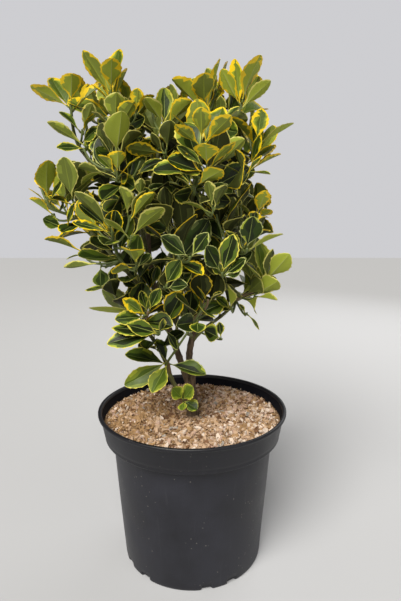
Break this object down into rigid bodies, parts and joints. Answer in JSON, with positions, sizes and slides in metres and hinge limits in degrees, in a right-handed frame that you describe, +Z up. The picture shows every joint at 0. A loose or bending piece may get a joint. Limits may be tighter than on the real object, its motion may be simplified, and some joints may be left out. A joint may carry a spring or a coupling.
{
  "type": "potted variegated japanese euonymus",
  "caption": "Small evergreen euonymus shrub with gold-margined leaves, growing in a black nursery pot topped with wood chips.",
  "frame": {"origin": "middle of the pot's flat underside, where it meets the floor", "axes": "+Z up along the trunk, -Y towards the side that the picture shows, +X to that view's right"},
  "size_m": [0.3354, 0.2715, 0.6353],
  "materials": {
    "pot_plastic": "charcoal black moulded plastic, matte, lightly scuffed",
    "wood_chips": "dry tan wood chips",
    "bark": "grey-brown bark, green on young shoots",
    "foliage": "glossy green leaves with golden-yellow margins, matte and paler underneath"
  },
  "bodies": {
    "root": {"pot": "pot_plastic", "chips": "wood_chips", "trunk": "bark", "stem_mid": "bark", "stem_right": "bark", "stem_left": "bark", "bough_top_left": "bark", "bough_right_shoulder": "bark", "bough_left_shoulder": "bark", "bough_left": "bark", "bough_front_left": "bark", "bough_front_right": "bark", "bough_middle_left": "bark", "bough_middle": "bark", "bough_middle_right": "bark", "bough_inner": "bark", "bough_right": "bark", "bough_low_right": "bark", "bough_low_mid": "bark", "bough_back_top_left": "bark", "bough_back_top_right": "bark", "bough_back_left": "bark", "bough_back_mid": "bark", "bough_back_right": "bark", "bough_back_low": "bark", "foliage_top_left": "foliage", "foliage_upper_mid": "foliage", "foliage_top_right": "foliage", "foliage_right_shoulder": "foliage", "foliage_left_shoulder": "foliage", "foliage_left": "foliage", "foliage_front_left": "foliage", "foliage_front_right": "foliage", "foliage_middle_left": "foliage", "foliage_middle": "foliage", "foliage_middle_right": "foliage", "foliage_inner": "foliage", "foliage_right": "foliage", "foliage_low_right": "foliage", "foliage_low_mid": "foliage", "foliage_low_left": "foliage", "foliage_lowest": "foliage", "foliage_sprig": "foliage", "foliage_back_top_left": "foliage", "foliage_back_top_right": "foliage", "foliage_back_left": "foliage", "foliage_back_mid": "foliage", "foliage_back_right": "foliage", "foliage_back_low": "foliage"}
  },
  "joints": []
}
